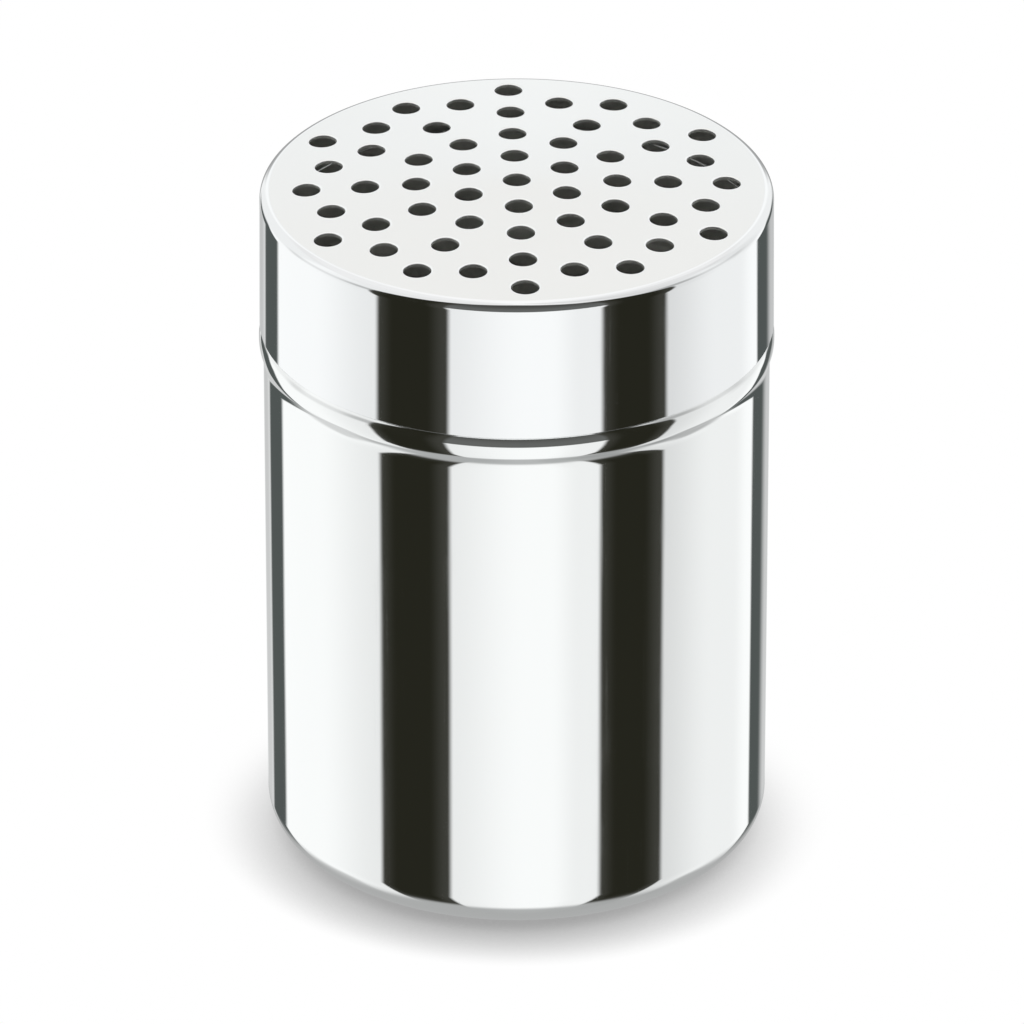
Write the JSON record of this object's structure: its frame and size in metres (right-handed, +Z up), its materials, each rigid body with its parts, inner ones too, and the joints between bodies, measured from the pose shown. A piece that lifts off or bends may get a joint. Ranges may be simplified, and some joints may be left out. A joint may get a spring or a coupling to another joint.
{
  "type": "salt shaker",
  "caption": "Kitchen salt shaker: a straight drawn steel cup with a stop bead near its top, and a push-on cap with a crowned, perforated top that lifts off to fill it.",
  "frame": {"origin": "on the table, under the middle of the base", "axes": "+Z up along the axis of the cup and the cap; one row of holes runs along Y"},
  "size_m": [0.0706, 0.0706, 0.0985],
  "materials": {
    "body_steel": "stainless steel, mirror-polished outside, with fine hairline wear; plain drawn finish inside",
    "cap_steel": "stainless steel, mirror-polished wall and a slightly softer polish on the perforated top"
  },
  "bodies": {
    "cup": {"body_cup": "body_steel"},
    "cap": {"shaker_cap": "cap_steel"}
  },
  "joints": [
    {"name": "cap_lift", "type": "slide", "parent": "cup", "child": "cap", "axis": [0, 0, 1], "range_m": [0, 0.035]}
  ]
}
